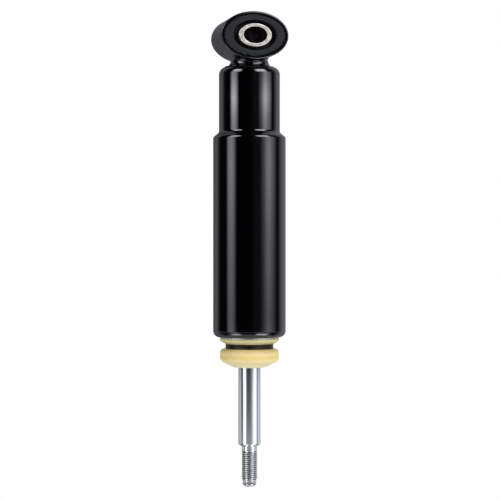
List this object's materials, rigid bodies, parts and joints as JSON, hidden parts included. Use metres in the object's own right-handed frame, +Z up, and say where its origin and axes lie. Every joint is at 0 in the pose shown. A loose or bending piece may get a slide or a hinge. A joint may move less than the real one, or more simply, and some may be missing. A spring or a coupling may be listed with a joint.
{
  "type": "shock absorber",
  "caption": "Twin-tube shock absorber with stepped black body, oval bushed eye, chromed rod, cream bump stop and threaded stud; damps suspension travel.",
  "frame": {"origin": "centre of the eye bore", "axes": "+Z up the damper axis from the stud to the eye, +Y along the eye bore"},
  "size_m": [0.046, 0.046, 0.2992],
  "materials": {
    "plated_steel": "zinc plated, turned ends",
    "bush_rubber": "moulded, matte",
    "black_paint": "gloss black enamel",
    "rod_chrome": "ground hard chrome",
    "stop_urethane": "cream cellular polyurethane, satin skin",
    "ring_plastic": "dark brown, satin",
    "plain_steel": "drawn and turned, oiled",
    "spring_steel": "blued strip",
    "sintered_iron": "sintered, fine grain",
    "bearing_bronze": "sintered bronze on steel",
    "band_ptfe": "filled PTFE",
    "seal_rubber": "oil-proof rubber, smooth"
  },
  "bodies": {
    "sleeve": {"bush_sleeve": "plated_steel"},
    "damper": {"bush_rubber": "bush_rubber", "eye_ring": "black_paint", "eye_stem": "black_paint", "stem_weld": "black_paint", "reservoir_tube": "black_paint", "pressure_tube": "plain_steel", "closure_cap": "plated_steel", "rod_guide": "sintered_iron", "guide_bush": "bearing_bronze", "guide_seal_ring": "seal_rubber", "rod_seal": "seal_rubber", "seal_spring": "spring_steel", "base_valve_body": "sintered_iron", "base_intake_spring": "spring_steel", "base_shims": "spring_steel", "base_valve_pin": "plain_steel"},
    "intake_plate": {"base_intake_plate": "spring_steel"},
    "band": {"piston_band": "band_ptfe"},
    "rod": {"piston_rod": "rod_chrome", "rebound_stop": "plain_steel", "rebound_bumper": "seal_rubber", "piston_body": "sintered_iron", "piston_check_spring": "spring_steel", "piston_stop_washer": "plain_steel", "piston_shims": "spring_steel", "piston_clamp_washer": "plain_steel", "piston_nut": "plain_steel"},
    "check_plate": {"piston_check_plate": "spring_steel"},
    "stop": {"bump_stop": "stop_urethane", "bump_stop_ring": "ring_plastic"}
  },
  "joints": [
    {"name": "eye_twist", "type": "hinge", "parent": "sleeve", "child": "damper", "pos_m": [0, 0, 0], "axis": [0, 1, 0], "range_deg": [-15, 15], "stiffness_Nm_per_rad": 30},
    {"name": "rod_slide", "type": "slide", "parent": "damper", "child": "band", "axis": [0, 0, 1], "range_m": [0, 0.058]},
    {"name": "rod_turn", "type": "hinge", "parent": "band", "child": "rod", "pos_m": [0, 0, 0], "axis": [0, 0, 1], "continuous": true},
    {"name": "check_plate_lift", "type": "slide", "parent": "rod", "child": "check_plate", "axis": [0, 0, 1], "range_m": [-0.001, 0], "stiffness_N_per_m": 50, "springref_m": 0.002, "deforming": ["piston_check_spring"]},
    {"name": "intake_plate_lift", "type": "slide", "parent": "damper", "child": "intake_plate", "axis": [0, 0, 1], "range_m": [-0.001, 0], "stiffness_N_per_m": 50, "springref_m": 0.002, "deforming": ["base_intake_spring"]},
    {"name": "bump_stop_slide", "type": "slide", "parent": "damper", "child": "stop", "axis": [0, 0, 1], "range_m": [-0.045, 0]}
  ]
}
